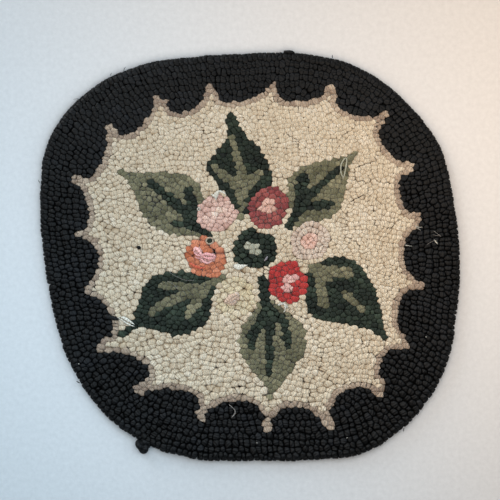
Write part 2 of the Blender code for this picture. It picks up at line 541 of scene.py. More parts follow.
# %% [markdown]
# ## Sharing the cloth out among the loops
#
# A loop takes 15 to 30 square millimetres of cloth. The cream ones grow towards the lower left and the
# border's towards its lower corners, and leaves, flowers and hearts come from strips of other widths. Each
# loop is a little longer one way than the other: the border's towards the pad's middle, the blush flower's
# round its own middle, and the others from left to right. A grid of copies would look like a machine's
# work. Here the seeds start in rows or rings, and then a few rounds of relaxation push them apart inside
# their own patch, which is what packing does to real loops: every seed moves to the middle of the cells
# that are nearest to it. Rows then run along edges and even out by themselves.

# %% How much cloth a loop takes, in square mm
FIELD_LOOP = 18.2
COARSE_MORE = 10.5
COARSE_FROM = 40.0
COARSE_OVER = 180.0
COARSE_LEFT = 0.45
COARSE_DOWN = 0.8
BORDER_LOOP = 23.5
CORNER_MORE = 1.5
LOWER_MORE = 5.5
LOWER_OVER = 160.0


def field_loop(x, y):
    """Cream loops, coarser to the lower left."""
    share = np.clip((COARSE_FROM - COARSE_LEFT * x - COARSE_DOWN * y) / COARSE_OVER, 0, 1)
    return FIELD_LOOP + COARSE_MORE * share**2 * (3 - 2 * share)


def border_loop(x, y):
    """Border loops, coarser at the corners and lower down."""
    corner = 0.5 - 0.5 * np.cos(4 * np.arctan2(y, x))
    return BORDER_LOOP + CORNER_MORE * corner + LOWER_MORE * np.clip(-y / LOWER_OVER, 0, 1)


loop_area = np.where(patch_of == BORDER, border_loop(plan_x, plan_y), field_loop(plan_x, plan_y))
for number, patch in enumerate(patches):
    if patch["loop"]:
        loop_area[patch_of == number] = patch["loop"]
print("a loop takes", loop_area[on_cloth].min(), "to", loop_area[on_cloth].max().round(1), "square mm")

# %% Which way a loop is long, and how much
BORDER_STRETCH = 1.15
STRETCH = 1.14
SWAY = 0.3
SWAY_WAVES = (23.0, 31.0)

sway = SWAY * np.sin(plan_x / SWAY_WAVES[0] + 1.3) * np.sin(plan_y / SWAY_WAVES[1] + 0.4)
grain = np.where(patch_of == BORDER, np.radians(plan_bearing), 0.0) + sway
stretch = np.where(patch_of == BORDER, BORDER_STRETCH, STRETCH)

# The blush flower's loops run round its middle
blush_patches = [number for number, patch in enumerate(patches) if "blush" in patch["name"]]
round_blush = np.arctan2(plan_y - BLUSH_MIDDLE[1], plan_x - BLUSH_MIDDLE[0]) + math.pi / 2
grain = np.where(np.isin(patch_of, blush_patches), round_blush, grain)
grain_x, grain_y = np.cos(grain), np.sin(grain)

# %% Where the field's rows start
BEND_WAVE = 75.0
BEND_STEP = 26.0
BEND_STEPS = 4
BEND_LAYER = 8.2
NEARBY = 0.05
OUT_OF_LINE = 0.16
UNEVEN_PITCH = (0.76, 1.24)
MARGIN = 40.0


def bent(x, y):
    """A point of a straight row, moved to where a hand-hooked row wanders. Swirls keep the spacing even."""
    for _ in range(BEND_STEPS):
        u, v = x / BEND_WAVE, y / BEND_WAVE
        swirl_u = noise.noise((u + NEARBY, v, BEND_LAYER)) - noise.noise((u - NEARBY, v, BEND_LAYER))
        swirl_v = noise.noise((u, v + NEARBY, BEND_LAYER)) - noise.noise((u, v - NEARBY, BEND_LAYER))
        x, y = x + BEND_STEP * swirl_v, y - BEND_STEP * swirl_u
    return x, y


row_seeds = []
row_y = axis_y[0] - MARGIN
while row_y < axis_y[-1] + MARGIN:
    row_pitch = math.sqrt(float(field_loop(0.0, row_y))) / STRETCH
    seed_x = axis_x[0] - MARGIN + chance.uniform(0, 5)
    while seed_x < axis_x[-1] + MARGIN:
        row_seeds.append(bent(seed_x, row_y + chance.normal(0, OUT_OF_LINE * row_pitch)))
        seed_x += float(field_loop(seed_x, row_y)) / row_pitch * chance.uniform(*UNEVEN_PITCH)
    row_y += row_pitch
print(len(row_seeds), "seeds in rows")

# %% Where the border's rings start
RING_PITCH = 5.8
RINGS_REACH_IN = 85.0

ring_seeds = []
for inset in np.arange(RING_PITCH / 2, RINGS_REACH_IN, RING_PITCH):
    bearing = chance.uniform(0, 2)
    while bearing < 360.0:
        edge = float(rim_at(bearing)) - CORE_INSET
        reach = edge + UNROLLED_RIM - inset + chance.normal(0, OUT_OF_LINE * RING_PITCH)
        place = outward(bearing) * reach
        ring_seeds.append((place.x, place.y))
        pitch = float(border_loop(place.x, place.y)) / RING_PITCH
        bearing += math.degrees(pitch * chance.uniform(*UNEVEN_PITCH) / reach)
print(len(ring_seeds), "seeds in rings round the border")

# %% Where the blush flower's rings start
BLUSH_PITCH = 4.3
BLUSH_RINGS_REACH = 24.0
BLUSH_LOOP = 19.0

blush_seeds = []
for reach in np.arange(0.5 * BLUSH_PITCH, BLUSH_RINGS_REACH, BLUSH_PITCH):
    around = round(2 * math.pi * reach * BLUSH_PITCH / BLUSH_LOOP)
    for step in range(around):
        place = outward(360.0 * (step + chance.uniform(-0.2, 0.2)) / around) * reach
        blush_seeds.append((BLUSH_MIDDLE[0] + place.x, BLUSH_MIDDLE[1] + place.y))
print(len(blush_seeds), "seeds in rings round the blush flower")

# %% As many seeds in each patch as its area asks for
start_of = {"border": ring_seeds, "blush_flower": blush_seeds, "blush_flower_heart": blush_seeds}


def cell_at(x, y):
    """Row and column of the cells at plan points."""
    rows = np.clip(np.rint((y - axis_y[0]) / CELL).astype(int), 0, len(axis_y) - 1)
    columns = np.clip(np.rint((x - axis_x[0]) / CELL).astype(int), 0, len(axis_x) - 1)
    return rows, columns


cell_share = CELL**2 / loop_area
seeds, seed_patch = [], []
for number in range(len(patches)):
    in_patch = patch_of == number
    if not in_patch.any():
        continue
    wanted = max(1, round(float(cell_share[in_patch].sum())))
    own = np.array(start_of.get(patches[number]["name"], row_seeds))
    own = own[in_patch[cell_at(own[:, 0], own[:, 1])]]
    own = own[chance.permutation(len(own))[:wanted]]
    rows, columns = np.nonzero(in_patch)
    extra = chance.integers(len(rows), size=wanted - len(own))
    seeds.append(np.vstack([own, np.stack([axis_x[columns[extra]], axis_y[rows[extra]]], axis=-1)]))
    seed_patch.append(np.full(wanted, number))
seed_x, seed_y = np.vstack(seeds).T
seed_patch = np.concatenate(seed_patch)
print(len(seed_x), "loops to hook")

# %% Relaxation: each seed to the middle of its own cells
ROUNDS = 3
JUMPS = (8, 4, 2, 1, 1)


def nearest_seeds(x, y):
    """For each cell the number of the nearest seed of its own patch, found by flooding in shorter jumps."""
    owner = np.full(patch_of.shape, -1)
    owner[cell_at(x, y)] = np.arange(len(x))
    nearest = np.full(patch_of.shape, np.inf)
    for jump in JUMPS:
        for down in (-jump, 0, jump):
            for right in (-jump, 0, jump):
                found = np.roll(owner, (down, right), axis=(0, 1))
                seed = np.maximum(found, 0)
                off_x, off_y = plan_x - x[seed], plan_y - y[seed]
                ahead = (off_x * grain_x + off_y * grain_y) / stretch
                aside = (off_y * grain_x - off_x * grain_y) * stretch
                off = ahead**2 + aside**2
                better = (found >= 0) & (seed_patch[seed] == patch_of) & (off < nearest)
                owner[better] = found[better]
                nearest[better] = off[better]
    owner[np.isinf(nearest)] = -1
    return owner


for _ in range(ROUNDS):
    owner = nearest_seeds(seed_x, seed_y)
    owned = owner >= 0
    weight = cell_share[owned]
    total = np.bincount(owner[owned], weight, len(seed_x))
    has_cells = total > 0
    middle_x = np.bincount(owner[owned], weight * plan_x[owned], len(seed_x)) / np.maximum(total, 1e-9)
    middle_y = np.bincount(owner[owned], weight * plan_y[owned], len(seed_x)) / np.maximum(total, 1e-9)
    seed_x = np.where(has_cells, middle_x, seed_x)
    seed_y = np.where(has_cells, middle_y, seed_y)
print("relaxed;", int((~has_cells).sum()), "seeds found no cell of their own")

# %% [markdown]
# Each loop fills the space up to half way to its neighbours. In any direction that space ends at the
# nearest of the lines half way between two seeds. A true polygon has sharp corners, and cloth doesn't, so
# the distances are blended instead of taking the least one, which rounds every corner. The sums are done
# with each loop's long side drawn in, so that it is round, and then drawn out again. Outside the flowers
# the loops part here and there in a dark crack, where a smooth noise passes through zero.

# %% Each seed's own direction
HAND_SPREAD = 0.36
SIZE_SPREAD = 0.17
BORDER_SPREAD = 0.24

count = len(seed_x)
every = np.arange(count)
on_border = seed_patch == BORDER
seed_x = seed_x + chance.normal(0, HAND_SPREAD, count)
seed_y = seed_y + chance.normal(0, HAND_SPREAD, count)
push = np.exp(chance.normal(0, np.where(on_border, BORDER_SPREAD, SIZE_SPREAD)))
seed_cells = cell_at(seed_x, seed_y)
seed_grain = grain[seed_cells]
seed_stretch = stretch[seed_cells]


def to_row(x, y, chosen):
    """Plan offsets from the chosen seeds as (along the loop, across it), drawn in so that it is round."""
    along_x, along_y = np.cos(seed_grain[chosen, None]), np.sin(seed_grain[chosen, None])
    ratio = seed_stretch[chosen, None]
    return (x * along_x + y * along_y) / ratio, (y * along_x - x * along_y) * ratio


def from_row(u, v, chosen):
    """The way back, from a loop's own directions to plan offsets."""
    along_x, along_y = np.cos(seed_grain[chosen, None]), np.sin(seed_grain[chosen, None])
    u, v = u * seed_stretch[chosen, None], v / seed_stretch[chosen, None]
    return u * along_x - v * along_y, u * along_y + v * along_x


# %% The neighbours that each loop meets
NEIGHBOURS = 14

seed_tree = kdtree.KDTree(count)
for number, (x, y) in enumerate(zip(seed_x, seed_y)):
    seed_tree.insert((x, y, 0.0), number)
seed_tree.balance()
found = [seed_tree.find_n((x, y, 0.0), NEIGHBOURS + 1)[1:] for x, y in zip(seed_x, seed_y)]
neighbours = np.array([[number for _place, number, _distance in near] for near in found])
to_u, to_v = to_row(seed_x[neighbours] - seed_x[:, None], seed_y[neighbours] - seed_y[:, None], every)
spacing = np.hypot(to_u, to_v)
print("the nearest loop stands", np.median(spacing.min(axis=1)).round(1), "mm away, middle to middle")

# %% The footprint of each loop
SIDES = 14
ROUNDING = 24.0
WIDEST_LOOP = 3.9
CRACK_WAVE = 34.0
CRACK_LAYER = 1.7
CRACK_WIDTH = 0.045
CRACK_DEPTH = 0.5


def noise_at(x, y, wave_x, wave_y, layer):
    """Smooth noise at plan points, with waves so many mm long. Each layer of it is a pattern of its own."""
    values = [noise.noise((u, v, layer)) for u, v in zip((x / wave_x).flat, (y / wave_y).flat)]
    return np.array(values).reshape(x.shape)


side_turn = 2 * math.pi * np.arange(SIDES) / SIDES + chance.uniform(0, 1, (count, 1))
facing = np.cos(side_turn)[:, :, None] * to_u[:, None, :] + np.sin(side_turn)[:, :, None] * to_v[:, None, :]
own_share = push[:, None] / (push[:, None] + push[neighbours])
closeness = np.maximum(facing / (own_share * spacing**2)[:, None, :], 0) ** ROUNDING
footprint = (closeness.sum(axis=2) + WIDEST_LOOP**-ROUNDING) ** (-1 / ROUNDING)
foot_x, foot_y = from_row(footprint * np.cos(side_turn), footprint * np.sin(side_turn), every)
wander = noise_at(foot_x + seed_x[:, None], foot_y + seed_y[:, None], CRACK_WAVE, CRACK_WAVE, CRACK_LAYER)
crack = np.clip(1 - np.abs(wander) / CRACK_WIDTH, 0, 1)
snug = np.array([patch["snug"] for patch in patches])[seed_patch]
cracked = np.array(["flower" not in patch["name"] for patch in patches])[seed_patch]
footprint = footprint * snug[:, None] - CRACK_DEPTH * crack * cracked[:, None]
print("loops are", np.round(2 * np.quantile(footprint.mean(axis=1), (0.05, 0.5, 0.95)), 1), "mm across")

# %% [markdown]
# ## Hooking
#
# Every loop is a closed pillow: a crown, a few rings that drop ever more steeply, and sides that go down
# to the foundation. Instances on points would be quicker to set up, but then all loops would have one
# shape. With arrays, a ring is worked out for many loops at once, and every loop keeps a footprint,
# height, lean and tint of its own. Years of sitting have worn the pile flatter towards the top of the
# pattern, the border most of all, and the rest a little towards the right too.

# %% How worn the pile is
FULL_RELIEF = 1.06
WORN = 0.22
WORN_BORDER = 0.3
WORN_SIDE = 0.0009
WORN_FROM = 20.0
WORN_OVER = 100.0

worn_flat = np.clip((seed_y - WORN_FROM) / WORN_OVER, 0, 1)
relief = FULL_RELIEF - WORN * worn_flat - np.where(on_border, WORN_BORDER * worn_flat, WORN_SIDE * seed_x)
print("the pile keeps", relief.min().round(2), "to", relief.max().round(2), "of its relief")

# %% What each loop has of its own
# The sink, the lean and the lump are in mm, a tilt is a slope, and the strip's sway is in radians
UNEVEN = 0.30
SUNK_AT_MOST = 0.6
LEAN = 0.35
TILT = 0.09
STRIP_SWAY = 0.35
LUMP = 0.16
DYE_WAVES = (34.0, 9.0)
DYE_LAYER = 5.3
DYE_DRIFT = 0.45
DYE_SPREAD = 0.17

loop_sink = np.minimum(np.abs(chance.normal(0, UNEVEN, count)), SUNK_AT_MOST) * relief
loop_lean = chance.normal(0, LEAN, (2, count))
loop_tilt = chance.normal(0, TILT, (2, count))
strip_turn = chance.normal(0, STRIP_SWAY, count)
lump_turn = chance.uniform(0, 2 * math.pi, count)
lump_size = chance.normal(0, LUMP, count)
strip_start = chance.uniform(0, 40, (2, count))
dye_drift = noise_at(seed_x, seed_y, *DYE_WAVES, DYE_LAYER)
dye = np.clip(0.5 + DYE_DRIFT * dye_drift + chance.normal(0, DYE_SPREAD, count), 0, 1)
print("the most sunken crown lies", loop_sink.max().round(2), "mm down")


# %% The section of a loop, from its crown down
# (share of the footprint, depth under the crown in mm)
LOOP_SECTION = (
    (0.00, 0.00),
    (0.52, 0.14),
    (0.78, 0.43),
    (0.92, 0.92),
    (1.00, 2.35),
    (0.95, 7.60),
)
LOOP_DEPTH = LOOP_SECTION[-1][1]
FOLD = 0.35


def ring_faces(rings, sides):
    """Faces of one pillow whose points are its crown, then each ring, then the middle of its underside."""
    crown = [(0, 1 + k, 1 + (k + 1) % sides) for k in range(sides)]
    walls = []
    for ring in range(rings - 1):
        upper = 1 + ring * sides
        for k in range(sides):
            after = (k + 1) % sides
            walls.append((upper + k, upper + sides + k, upper + sides + after, upper + after))
    last = 1 + (rings - 1) * sides
    under = [(last + k, last + sides, last + (k + 1) % sides) for k in range(sides)]
    return np.array(crown + under), np.array(walls)


loop_tris, loop_quads = ring_faces(len(LOOP_SECTION) - 1, SIDES)
LOOP_POINTS = (len(LOOP_SECTION) - 1) * SIDES + 2
print("a loop has", LOOP_POINTS, "points and", len(loop_tris) + 2 * len(loop_quads), "triangles")


# %% The points of many loops at once
def raised_loops(chosen):
    """Plan places and depths of the chosen loops' points in mm, one row of points for each loop."""
    x, y, depth = [], [], []
    for share, drop in LOOP_SECTION:
        sides = slice(0, 1) if share == 0 else slice(None)
        reach = footprint[chosen][:, sides] * share
        turn = side_turn[chosen][:, sides]
        lean = (1 - share) * loop_lean[:, chosen, None]
        u = reach * np.cos(turn)
        v = reach * np.sin(turn)
        off_x, off_y = from_row(u, v, chosen)
        x.append(seed_x[chosen, None] + off_x + lean[0])
        y.append(seed_y[chosen, None] + off_y + lean[1])
        tilt = loop_tilt[0, chosen, None] * u + loop_tilt[1, chosen, None] * v
        fold = 1 + FOLD * (1 - share) * np.cos(2 * (turn - strip_turn[chosen, None]))
        lump = share * lump_size[chosen, None] * np.cos(3 * turn - lump_turn[chosen, None])
        flat = relief[chosen, None] if drop < LOOP_DEPTH else 1.0
        depth.append(loop_sink[chosen, None] + (drop * fold + tilt + lump) * flat)
    x.append(seed_x[chosen, None])
    y.append(seed_y[chosen, None])
    depth.append(np.full((len(chosen), 1), LOOP_DEPTH))
    return [np.concatenate(part, axis=1) for part in (x, y, depth)]


# %% From arrays to a mesh, and from a mesh to a piece
def cloth_mesh(name, places, face_sets):
    """A mesh from places in metres and arrays of faces, one array for each number of corners."""
    mesh = bpy.data.meshes.new(name)
    corners = np.concatenate([faces.ravel() for faces in face_sets]).astype(np.int32)
    sizes = np.concatenate([np.full(len(faces), faces.shape[1]) for faces in face_sets])
    starts = (np.cumsum(sizes) - sizes).astype(np.int32)
    mesh.vertices.add(len(places))
    mesh.vertices.foreach_set("co", places.astype(np.float32).ravel())
    mesh.loops.add(len(corners))
    mesh.loops.foreach_set("vertex_index", corners)
    mesh.polygons.add(len(sizes))
    mesh.polygons.foreach_set("loop_start", starts)
    mesh.update(calc_edges=True)
    mesh.shade_smooth()
    return mesh, corners


def mark(mesh, corners, strip, **numbers):
    """Gives a mesh its strip map in mm and its named numbers, one for each point."""
    layer = mesh.uv_layers.new(name="strip")
    layer.data.foreach_set("uv", strip[corners].astype(np.float32).ravel())
    for name, values in numbers.items():
        attribute = mesh.attributes.new(name, "FLOAT", "POINT")
        attribute.data.foreach_set("value", values.astype(np.float32))


def new_piece(mesh, material):
    """Puts a mesh in the scene as a piece of the pad."""
    piece = bpy.data.objects.new(mesh.name, mesh)
    bpy.context.scene.collection.objects.link(piece)
    mesh.materials.append(material)
    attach(piece, "root")
    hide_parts("hooked_mat")
    return piece


# %% [markdown]
# ## Jersey
#
# The strips are cotton jersey, dyed, worn soft and then cut about 10 mm wide. Cut jersey rolls up along
# its length, so what shows on a loop is the rolled right side of a fine knit: matte, with a faint crease
# across the strip every few millimetres, and with a soft nap that catches light at grazing angles. Old
# cloth never dyes evenly, so the tint changes from strip to strip. Low down between the loops and in the
# creases the colour is darkened, as painted shade. The black and the two dark greens are a smoother, harder
# jersey without that nap. One function makes the material for every yarn, because only the dye and the
# finish differ.

# %% Colour and node helpers
def linear(colour, alpha=1.0):
    """An sRGB hex colour as linear red, green, blue and alpha."""
    parts = [int(colour[i : i + 2], 16) / 255 for i in (1, 3, 5)]
    return [p / 12.92 if p <= 0.04045 else ((p + 0.055) / 1.055) ** 2.4 for p in parts] + [alpha]


def add(tree, kind, inputs=None, **settings):
    """Adds a shader node. A setting is an attribute of it, an input is a value or a socket to link."""
    node = tree.nodes.new("ShaderNode" + kind)
    for name, value in settings.items():
        setattr(node, name, value)
    for name, value in (inputs or {}).items():
        if isinstance(value, bpy.types.NodeSocket):
            tree.links.new(value, node.inputs[name])
        else:
            node.inputs[name].default_value = value
    return node


def empty_material(name):
    """A material with an empty node tree."""
    material = bpy.data.materials.new(name)
    material.use_nodes = True
    material.node_tree.nodes.clear()
    return material, material.node_tree


# %% Dyed cotton jersey
# A wave texture at this scale has one band to the unit, so this over a spacing gives that spacing
WAVE_UNIT = 2 * math.pi / 20
# Spacings in mm. The knit's ribs and the nap are finer than a pixel, so they are drawn about 1 mm coarse
CREASE_EVERY = 2.5
# How far the colour in a crease is dimmed, as painted shade
PAINTED_FOLD_SHADE = 0.22
HEATHER = 1.0
MOTTLE = 0.8
FUZZ = 0.9
CREASE_OVER_FUZZ = 1.1


def jersey(name, dark, middle, light, crevice_shade_tint="#b49f80", nap=0.25, gloss=0.2, roughness=0.93, crease=0.65):
    """Dyed cotton jersey.

    Its hex colours are the dye's deepest, usual and palest tint, and the tint that dims the deepest low
    down between the loops as painted shade. The crease is how far a crease sinks, in mm.
    """
    material, tree = empty_material(name)
    tint = add(tree, "Attribute", attribute_name="dye")
    deep = add(tree, "Attribute", attribute_name="deep")
    strip = add(tree, "UVMap", uv_map="strip")
    place = add(tree, "TexCoord").outputs["Object"]
    grain = {"Vector": place, "Scale": 1 / (HEATHER * MM), "Detail": 3.0, "Roughness": 0.6}
    heather = add(tree, "TexNoise", grain)
    mottle = add(tree, "Math", {0: heather.outputs[0], 1: MOTTLE, 2: -MOTTLE / 2}, operation="MULTIPLY_ADD")
    shade = add(tree, "Math", {0: tint.outputs["Fac"], 1: mottle.outputs[0]}, operation="ADD")
    ramp = add(tree, "ValToRGB", {"Fac": shade.outputs[0]})
    ramp.color_ramp.elements[0].color = linear(dark)
    ramp.color_ramp.elements[1].color = linear(light)
    ramp.color_ramp.elements.new(0.5).color = linear(middle)
    # One wave along the strip paints shade into its creases and raises the cloth between them
    scale = WAVE_UNIT / CREASE_EVERY
    along = {"Vector": strip.outputs["UV"], "Scale": scale, "Distortion": 5.0, "Detail": 1.0}
    creases = add(tree, "TexWave", along, bands_direction="X")
    fold_shade_range = {"Value": creases.outputs["Fac"], "From Min": 0.45, "From Max": 0.0, "To Max": PAINTED_FOLD_SHADE}
    fold = add(tree, "MapRange", fold_shade_range)
    # Painted shade: the colour is dimmed by the crevice shade low between the loops or by the fold shade in
    # the creases, whichever is more
    low = add(tree, "Math", {0: deep.outputs["Fac"], 1: fold.outputs["Result"]}, operation="MAXIMUM")
    crevice_shade_colour = [ink * dim for ink, dim in zip(linear(dark), linear(crevice_shade_tint))]
    tints = {"Factor": low.outputs[0], "A": ramp.outputs["Color"], "B": crevice_shade_colour}
    sunk = add(tree, "Mix", tints, data_type="RGBA")
    fuzz = add(tree, "TexNoise", {"Vector": place, "Scale": 1 / (FUZZ * MM), "Detail": 2.0})
    surface = {0: creases.outputs["Fac"], 1: CREASE_OVER_FUZZ, 2: fuzz.outputs[0]}
    raised = add(tree, "Math", surface, operation="MULTIPLY_ADD")
    bump = add(tree, "Bump", {"Height": raised.outputs[0], "Strength": 1.0, "Distance": crease * MM})
    finish = {
        "Base Color": sunk.outputs["Result"],
        "Roughness": roughness,
        "Specular IOR Level": gloss,
        "Sheen Weight": nap,
        "Sheen Roughness": 0.5,
        "Normal": bump.outputs["Normal"],
    }
    shader = add(tree, "BsdfPrincipled", finish)
    add(tree, "OutputMaterial", {"Surface": shader.outputs["BSDF"]})
    return material


# %% The yarn basket
# (deepest, usual and palest tint, and for some the tint that dims the deepest between the loops as painted
# shade)
DYES = {
    "black": ("#040405", "#08090b", "#121418", "#303030"),
    "cream": ("#c7b7a0", "#d2c5af", "#dbd0be"),
    "tan": ("#8b796c", "#a59382", "#bfae9b"),
    "dark_green": ("#111814", "#1f2921", "#374337", "#404040"),
    "deep_green": ("#0e1410", "#1a231b", "#2d382c", "#404040"),
    "sage": ("#55543e", "#6e6c55", "#8d886d", "#8a8272"),
    "pale_sage": ("#8e9181", "#a4a595", "#b7b7a7"),
    "raspberry": ("#773639", "#904645", "#a75d57", "#987868"),
    "red": ("#a02c2b", "#b33635", "#c54942", "#907060"),
    "orange": ("#b36745", "#ca7c5c", "#db9476", "#a08070"),
    "dusty_pink": ("#c9a398", "#d8b5aa", "#e4c7ba", "#a48c78"),
    "pale_pink": ("#d9beaf", "#e8d1c4", "#f1e2d7"),
    "peach": ("#cb9f92", "#dab4a6", "#e2c6ba"),
    "lilac_pink": ("#c99794", "#d9aba6", "#e9c6bb"),
    "pale_yellow": ("#c9ba9a", "#d3c6a9", "#dacdb5", "#a89070"),
    "bleached": ("#c9c9c0", "#dedcd2", "#ebe9e0"),
    "rose": ("#d69297", "#edaeb1", "#ffd0cd"),
    "rust": ("#a8452f", "#c85f48", "#dc8068"),
    "faded_pink": ("#bba494", "#d0b4a0", "#dfc7b6"),
    "grey": ("#6a6663", "#827e7b", "#9b9895"),
    "lilac": ("#86808c", "#a09aa6", "#b8b2bc"),
    "blush": ("#c7b3a5", "#cebeb0", "#d4c9ba", "#a48c74"),
}
HARD_BLACK = {"nap": 0.0, "gloss": 0.19, "roughness": 0.55, "crease": 0.2}
HARD_GREEN = {"nap": 0.0, "gloss": 0.25, "roughness": 0.7, "crease": 0.35}
FINISH = {"black": HARD_BLACK, "dark_green": HARD_GREEN, "deep_green": HARD_GREEN}
JERSEY = {yarn: jersey(yarn + "_jersey", *dye, **FINISH.get(yarn, {})) for yarn, dye in DYES.items()}
print(len(JERSEY), "yarns in the basket")

# %% [markdown]
# Between two loops the strip runs along the back of the cloth, so the pad's underside shows the same
# pattern in short flat stitches. On the real pad they touch end to end. Here each is a six-sided pad under
# its own loop, laid across the loop's length, which is enough to show the pattern from below.

# %% The stitches on the back
BACK_SIDES = 6
BACK_HALF_LENGTH = 2.8
BACK_HALF_WIDTH = 1.8
HEM_HIDES = 21.0

# (share of its size, height in mm) from where it is buried in the cloth down to its lowest
BACK_SECTION = (
    (1.00, 1.45),
    (0.95, 0.85),
    (0.68, 0.45),
)
back_tris, back_quads = ring_faces(len(BACK_SECTION), BACK_SIDES)
BACK_POINTS = len(BACK_SECTION) * BACK_SIDES + 2


def back_stitches(chosen):
    """Points of the chosen loops' back stitches in mm, one row of points for each."""
    turn = 2 * math.pi * np.arange(BACK_SIDES) / BACK_SIDES
    across, along = BACK_HALF_WIDTH * np.cos(turn), BACK_HALF_LENGTH * np.sin(turn)
    u, v, z = [np.zeros(1)], [np.zeros(1)], [np.full(1, BACK_SECTION[0][1])]
    for share, height in BACK_SECTION:
        u.append(across * share)
        v.append(along * share)
        z.append(np.full(BACK_SIDES, height))
    z.append(np.full(1, BACK_SECTION[-1][1]))
    u, v, z = (np.concatenate(part) for part in (u + u[:1], v + v[:1], z))
    off_x, off_y = from_row(u[None], v[None], chosen)
    return seed_x[chosen, None] + off_x, seed_y[chosen, None] + off_y, np.tile(z, (len(chosen), 1))


# %% [markdown]
# One piece holds the loops of one patch. The black border and the cream ground have the most loops, so
# they are split where a maker might pause, which keeps every piece a size that other programs open easily.

# %% The faces and strip places of many forms at once
def strip_places(x, y, chosen):
    """Where plan points lie on their loop's strip, in mm along and across it."""
    turn = (strip_turn + seed_grain)[chosen, None]
    off_x = x - seed_x[chosen, None]
    off_y = y - seed_y[chosen, None]
    along = off_x * np.cos(turn) + off_y * np.sin(turn) + strip_start[0, chosen, None]
    across = off_y * np.cos(turn) - off_x * np.sin(turn) + strip_start[1, chosen, None]
    return np.stack([along, across], axis=-1).reshape(-1, 2)


def many(faces, copies, points, start):
    """The faces of one form, repeated for that many copies of its points."""
    first = start + np.arange(copies)[:, None, None] * points
    return (faces[None] + first).reshape(-1, faces.shape[1])


# %% Hooking the chosen loops
# Painted shade between the loops: it begins this many mm under a crown and is full that many mm lower
CREVICE_SHADE_FROM = 0.35
CREVICE_SHADE_OVER = 1.5


def hook(name, yarn, chosen):
    """Raises the chosen loops as one piece, with the stitches that hold them on the back."""
    x, y, depth = raised_loops(chosen)
    clear_of_hem = np.hypot(seed_x, seed_y)[chosen] < edge_reach(seed_x, seed_y)[1][chosen] - HEM_HIDES
    under = chosen[clear_of_hem]
    back_x, back_y, back_z = back_stitches(under)
    back = np.stack([back_x, back_y, back_z], axis=-1).reshape(-1, 3) * MM
    places = np.vstack([on_the_pad(x, y, depth).reshape(-1, 3), back])
    first = len(chosen) * LOOP_POINTS
    face_sets = []
    for of_loop, of_back in ((loop_tris, back_tris), (loop_quads, back_quads)):
        loop_faces = many(of_loop, len(chosen), LOOP_POINTS, 0)
        back_faces = many(of_back, len(under), BACK_POINTS, first)
        face_sets.append(np.vstack([loop_faces, back_faces]))
    mesh, corners = cloth_mesh(name, places, face_sets)
    strip = np.vstack([strip_places(x, y, chosen), strip_places(back_x, back_y, under)])
    tint = np.concatenate([np.repeat(dye[chosen], LOOP_POINTS), np.repeat(dye[under], BACK_POINTS)])
    # How much painted shade each point of a loop takes
    deep = np.clip((depth - CREVICE_SHADE_FROM) / CREVICE_SHADE_OVER, 0, 1).ravel()
    mark(mesh, corners, strip, dye=tint, deep=np.concatenate([deep, np.zeros(len(under) * BACK_POINTS)]))
    new_piece(mesh, JERSEY[yarn])
    print(name, len(chosen), "loops")


# %% Patch after patch
loop_bearing = np.degrees(np.arctan2(seed_y, seed_x)) % 360.0
quarter = ((loop_bearing + 45.0) // 90.0).astype(int) % 4
for number, patch in enumerate(patches):
    own = np.nonzero(seed_patch == number)[0]
    shares = {"loops": own}
    if patch["name"] == "border":
        shares = {side: own[quarter[own] == i] for i, side in enumerate(("right", "top", "left", "bottom"))}
    if patch["name"] == "ground":
        shares = {"upper": own[seed_y[own] >= 0], "lower": own[seed_y[own] < 0]}
    for part, chosen in shares.items():
        hook(patch["name"] + "_" + part, patch["yarn"], chosen)

# %% [markdown]
# ## The foundation cloth
#
# The loops stand in a coarse natural weave, such as hessian: plain weave from thick, uneven, unbleached
# yarns, which leave gaps wide enough for the hook. At the rim the cloth is turned under and sewn down, so
# on the real pad it is one sheet with a hem. It could be a flat disc, but then the hem would be missing
# from below. Here one closed section runs out over the fold and back along the hem, and is carried round
# the whole outline. The side that the pile stands on is painted nearly black, as painted shade, so no
# bright thread shows between dark loops.

# %% Natural hessian
# Spacings in mm, of the threads and of the thick and thin places in the yarn
THREAD_EVERY = 1.9
SLUB = 6.0
LIGHT_AT = 0.7


def hessian(name, dark, light, pile_shade_colour):
    """Unbleached plain weave: ribs both ways in yarn of uneven thickness, and painted shade under the pile.
    """
    material, tree = empty_material(name)
    place = add(tree, "TexCoord").outputs["Object"]
    slub = add(tree, "TexNoise", {"Vector": place, "Scale": 1 / (SLUB * MM), "Detail": 3.0})
    waves = {"Vector": place, "Scale": WAVE_UNIT / (THREAD_EVERY * MM), "Distortion": 0.6, "Detail": 1.0}
    warp = add(tree, "TexWave", waves, bands_direction="X")
    weft = add(tree, "TexWave", waves, bands_direction="Y")
    weave = add(tree, "Math", {0: warp.outputs["Fac"], 1: weft.outputs["Fac"]}, operation="MAXIMUM")
    shade = add(tree, "Math", {0: slub.outputs[0], 1: weave.outputs[0]}, operation="MULTIPLY")
    ramp = add(tree, "ValToRGB", {"Fac": shade.outputs[0]})
    ramp.color_ramp.elements[0].color = linear(dark)
    ramp.color_ramp.elements[1].color = linear(light)
    ramp.color_ramp.elements[1].position = LIGHT_AT
    # Under the pile the weave gives way to painted shade
    linty = add(tree, "Attribute", attribute_name="linty")
    tints = {"Factor": linty.outputs["Fac"], "A": ramp.outputs["Color"], "B": linear(pile_shade_colour)}
    colour = add(tree, "Mix", tints, data_type="RGBA").outputs["Result"]
    bump = add(tree, "Bump", {"Height": weave.outputs[0], "Strength": 0.8, "Distance": 0.4 * MM})
    finish = {"Base Color": colour, "Roughness": 0.95, "Normal": bump.outputs["Normal"]}
    shader = add(tree, "BsdfPrincipled", finish)
    add(tree, "OutputMaterial", {"Surface": shader.outputs["BSDF"]})
    return material


# %% The section of the cloth and its turned hem
FOLD_INSET = 4.9
HEM_EDGE = 27.0
